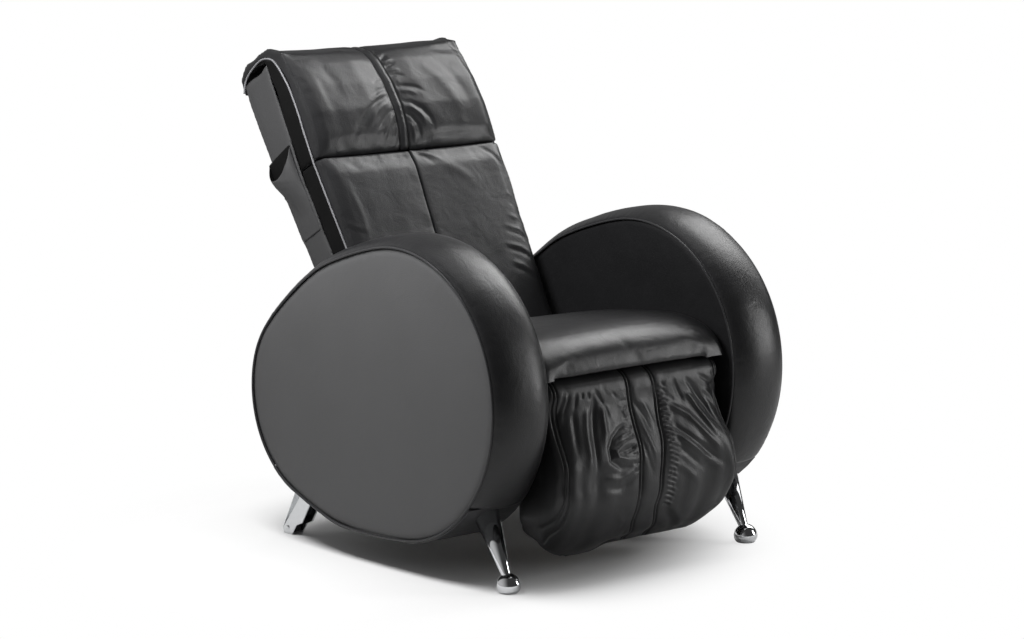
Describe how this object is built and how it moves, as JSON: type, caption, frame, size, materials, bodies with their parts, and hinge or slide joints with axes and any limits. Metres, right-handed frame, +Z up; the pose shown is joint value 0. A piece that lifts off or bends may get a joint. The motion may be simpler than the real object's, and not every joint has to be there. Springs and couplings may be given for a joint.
{
  "type": "massage chair",
  "caption": "Reclining massage armchair with large round upholstered arms on chromed legs, a lifting legrest, a rolling and kneading massage carriage in the backrest and a side pocket.",
  "frame": {"origin": "centre of the floor rectangle under the chair, on the floor at rest", "axes": "+Z up, the chair faces -Y, +X towards the sitter's left arm"},
  "size_m": [0.7804, 0.9989, 0.9826],
  "materials": {
    "leather": "smooth black upholstery leather",
    "back_leather": "plain black leather of the hidden and side faces",
    "piping": "bright welt of the backrest",
    "plywood": "birch plywood",
    "frame_steel": "black powder coat",
    "chrome": "polished chrome",
    "bright_steel": "ground steel",
    "black_plastic": "fine-grained black plastic",
    "arm_plastic": "moulded ivory plastic",
    "red_plastic": "red plastic",
    "ball_rubber": "firm rubber",
    "wheel_rubber": "hard black rubber"
  },
  "bodies": {
    "base": {"right_arm_carcass": "plywood", "right_arm_base_plate": "black_plastic", "right_arm_band": "leather", "right_arm_outer_panel": "back_leather", "right_arm_inner_panel": "leather", "left_arm_carcass": "plywood", "left_arm_base_plate": "black_plastic", "left_arm_band": "leather", "left_arm_outer_panel": "back_leather", "left_arm_inner_panel": "leather", "arm_piping": "leather", "right_front_leg": "chrome", "left_front_leg": "chrome", "right_ball_foot": "chrome", "left_ball_foot": "chrome", "right_rear_leg": "chrome", "left_rear_leg": "chrome", "right_side_rail": "frame_steel", "left_side_rail": "frame_steel", "front_cross_tube": "frame_steel", "middle_cross_tube": "frame_steel", "rear_cross_tube": "frame_steel", "arm_bolts": "chrome", "seat_deck": "plywood", "seat_cushion": "leather", "recline_brackets": "frame_steel", "legrest_brackets": "frame_steel", "legrest_actuator": "frame_steel", "recline_actuator": "frame_steel", "control_box": "black_plastic", "rear_cover": "black_plastic", "power_inlet": "black_plastic"},
    "right_wheel": {"right_wheel": "wheel_rubber"},
    "left_wheel": {"left_wheel": "wheel_rubber"},
    "power_rocker": {"power_rocker": "red_plastic"},
    "legrest_rod": {"legrest_push_rod": "bright_steel"},
    "recline_rod": {"recline_push_rod": "bright_steel"},
    "legrest": {"legrest_frame": "frame_steel", "legrest_board": "plywood", "legrest_pad": "leather"},
    "backrest": {"back_side_bars": "frame_steel", "back_cross_tubes": "frame_steel", "recline_lever_plate": "frame_steel", "back_shell": "back_leather", "lower_back_pad": "leather", "head_pad": "leather", "back_piping": "piping", "remote_pocket": "back_leather", "guide_rods": "bright_steel", "lift_gearmotor": "black_plastic"},
    "carriage": {"carriage_frame": "frame_steel", "knead_gearmotor": "black_plastic"},
    "lead_screw": {"lead_screw": "bright_steel"},
    "knead_shaft": {"knead_shaft": "bright_steel"},
    "right_massage_arm": {"right_massage_arm": "arm_plastic"},
    "left_massage_arm": {"left_massage_arm": "arm_plastic"},
    "right_upper_ball": {"right_upper_ball": "ball_rubber"},
    "right_lower_ball": {"right_lower_ball": "ball_rubber"},
    "left_upper_ball": {"left_upper_ball": "ball_rubber"},
    "left_lower_ball": {"left_lower_ball": "ball_rubber"}
  },
  "joints": [
    {"name": "backrest_recline", "type": "hinge", "parent": "base", "child": "backrest", "pos_m": [0, 0.11, 0.335], "axis": [-1, 0, 0], "range_deg": [0, 35]},
    {"name": "recline_rod_travel", "type": "slide", "parent": "base", "child": "recline_rod", "axis": [0, -1, 0], "range_m": [0, 0.0758]},
    {"name": "legrest_lift", "type": "hinge", "parent": "base", "child": "legrest", "pos_m": [0, -0.415, 0.362], "axis": [-1, 0, 0], "range_deg": [0, 75]},
    {"name": "legrest_rod_travel", "type": "slide", "parent": "base", "child": "legrest_rod", "axis": [0, -1, 0], "range_m": [0, 0.1613]},
    {"name": "carriage_travel", "type": "slide", "parent": "backrest", "child": "carriage", "axis": [0, 0.5, 0.866], "range_m": [-0.14, 0.17]},
    {"name": "screw_spin", "type": "hinge", "parent": "backrest", "child": "lead_screw", "pos_m": [0, 0.11, 0.335], "axis": [0, 0.5, 0.866], "continuous": true},
    {"name": "knead_spin", "type": "hinge", "parent": "carriage", "child": "knead_shaft", "pos_m": [0, 0.23863, 0.64179], "axis": [1, 0, 0], "continuous": true},
    {"name": "left_knead", "type": "hinge", "parent": "knead_shaft", "child": "left_massage_arm", "pos_m": [0, 0.24163, 0.64699], "axis": [1, 0, 0], "continuous": true},
    {"name": "right_knead", "type": "hinge", "parent": "knead_shaft", "child": "right_massage_arm", "pos_m": [0, 0.23563, 0.63659], "axis": [1, 0, 0], "continuous": true},
    {"name": "left_upper_ball_spin", "type": "hinge", "parent": "left_massage_arm", "child": "left_upper_ball", "pos_m": [0.098, 0.26137, 0.70718], "axis": [1, 0, 0], "continuous": true},
    {"name": "left_lower_ball_spin", "type": "hinge", "parent": "left_massage_arm", "child": "left_lower_ball", "pos_m": [0.098, 0.19937, 0.59979], "axis": [1, 0, 0], "continuous": true},
    {"name": "right_upper_ball_spin", "type": "hinge", "parent": "right_massage_arm", "child": "right_upper_ball", "pos_m": [-0.098, 0.25537, 0.69679], "axis": [1, 0, 0], "continuous": true},
    {"name": "right_lower_ball_spin", "type": "hinge", "parent": "right_massage_arm", "child": "right_lower_ball", "pos_m": [-0.098, 0.19337, 0.5894], "axis": [1, 0, 0], "continuous": true},
    {"name": "left_wheel_spin", "type": "hinge", "parent": "base", "child": "left_wheel", "pos_m": [0.32, 0.2345, 0.0135], "axis": [1, 0, 0], "continuous": true},
    {"name": "right_wheel_spin", "type": "hinge", "parent": "base", "child": "right_wheel", "pos_m": [-0.32, 0.2345, 0.0135], "axis": [1, 0, 0], "continuous": true},
    {"name": "power_switch", "type": "hinge", "parent": "base", "child": "power_rocker", "pos_m": [-0.15, 0.203, 0.204], "axis": [1, 0, 0], "range_deg": [-8, 8]}
  ],
  "couplings": [
    {"joint": "recline_rod_travel", "follows": "backrest_recline", "m_per_rad": 0.12388},
    {"joint": "legrest_rod_travel", "follows": "legrest_lift", "m_per_rad": 0.1231},
    {"joint": "screw_spin", "follows": "carriage_travel", "rad_per_m": 628.32},
    {"joint": "left_knead", "follows": "knead_spin", "ratio": -1},
    {"joint": "right_knead", "follows": "knead_spin", "ratio": -1}
  ]
}
